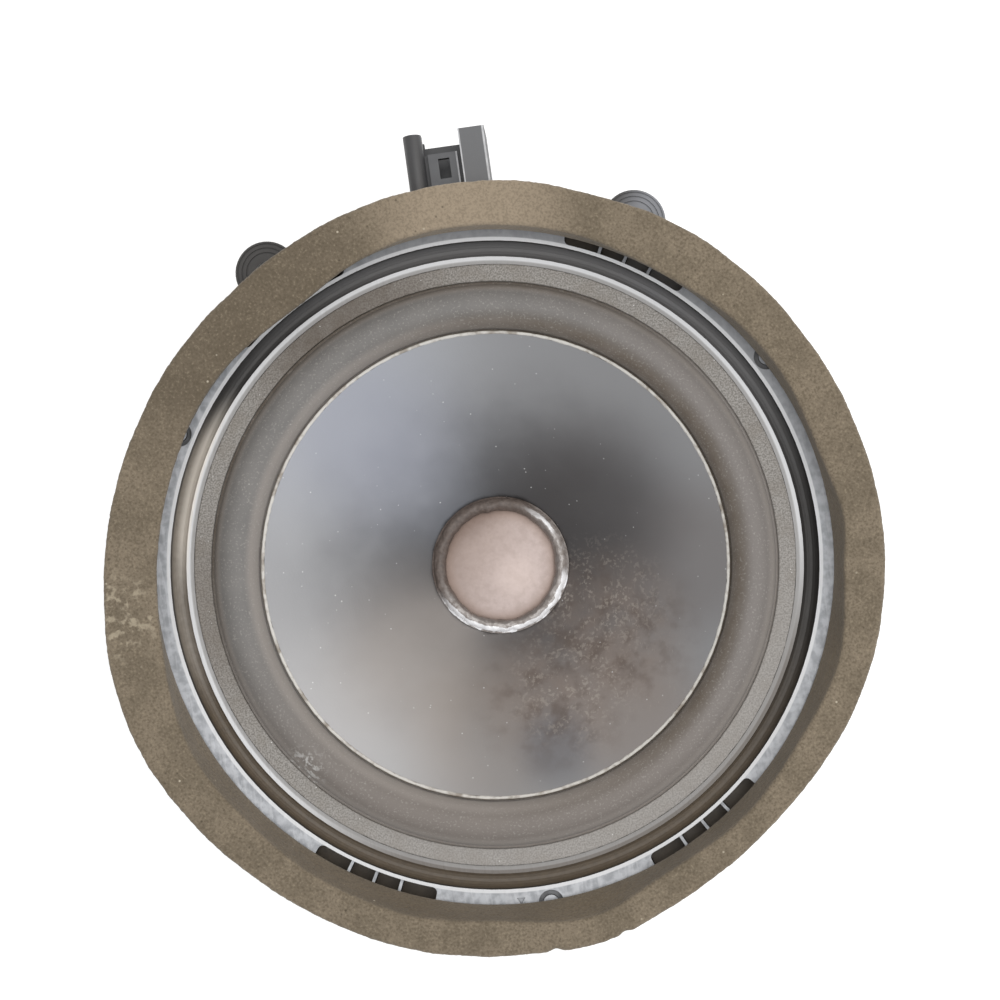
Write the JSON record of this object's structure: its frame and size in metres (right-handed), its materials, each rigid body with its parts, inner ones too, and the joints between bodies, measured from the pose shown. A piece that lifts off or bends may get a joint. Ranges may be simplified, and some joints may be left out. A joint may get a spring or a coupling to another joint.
{
  "type": "car door loudspeaker",
  "caption": "Car door mid-bass loudspeaker: foam-sealed round flange, screw ears, side connector, rubber-edged aluminium cone and ferrite motor.",
  "frame": {"origin": "on the cone's axis, in the plane of the flange's rear face that seats on the door panel", "axes": "+Z forward out of the cone, +Y from the cone's axis towards the connector, +X to the right seen from the front"},
  "size_m": [0.182, 0.1948, 0.0805],
  "materials": {
    "basket_plastic": "dark grey glass-filled moulding, its front face hazed light grey",
    "foam": "olive-brown open-cell polyurethane foam, scuffed",
    "tape": "double-sided adhesive film",
    "gasket_board": "grey speckled pressed fibre board",
    "surround_rubber": "matt grey rubber, dusty",
    "cone_aluminium": "satin spun aluminium with brown grime",
    "clear_glue": "glossy uneven adhesive bead",
    "cap_cloth": "pinkish-beige pressed cloth, matt",
    "former_film": "amber polyimide film",
    "kraft_paper": "brown kraft paper wrap",
    "copper_wire": "enamelled copper wire",
    "black_glue": "black adhesive dots",
    "spider_cloth": "resin-treated corrugated cotton",
    "plated_steel": "zinc-plated low-carbon steel",
    "ferrite": "sintered ferrite, dark grey",
    "connector_plastic": "dark grey moulding with shiny edges",
    "terminal_metal": "tin-plated brass",
    "solder": "bright solder",
    "tinsel_braid": "braided copper tinsel"
  },
  "bodies": {
    "frame": {"basket": "basket_plastic", "foam_gasket": "foam", "foam_tape": "tape", "surround_ring": "gasket_board", "surround": "surround_rubber", "spider": "spider_cloth", "top_plate": "plated_steel", "magnet": "ferrite", "yoke": "plated_steel", "plate_rivets": "plated_steel", "connector_housing": "connector_plastic", "terminal_left": "terminal_metal", "terminal_right": "terminal_metal", "solder_joints": "solder", "tinsel_lead_left": "tinsel_braid", "tinsel_lead_right": "tinsel_braid"},
    "cone_assembly": {"cone": "cone_aluminium", "cone_edge_bead": "clear_glue", "dust_cap": "cap_cloth", "cap_glue": "clear_glue", "coil_former": "former_film", "former_collar": "kraft_paper", "coil_winding": "copper_wire", "lead_anchors": "black_glue"}
  },
  "joints": [
    {"name": "cone_travel", "type": "slide", "parent": "frame", "child": "cone_assembly", "axis": [0, 0, 1], "range_m": [-0.005, 0.005], "stiffness_N_per_m": 1500, "deforming": ["surround", "spider", "tinsel_lead_left", "tinsel_lead_right"]}
  ]
}
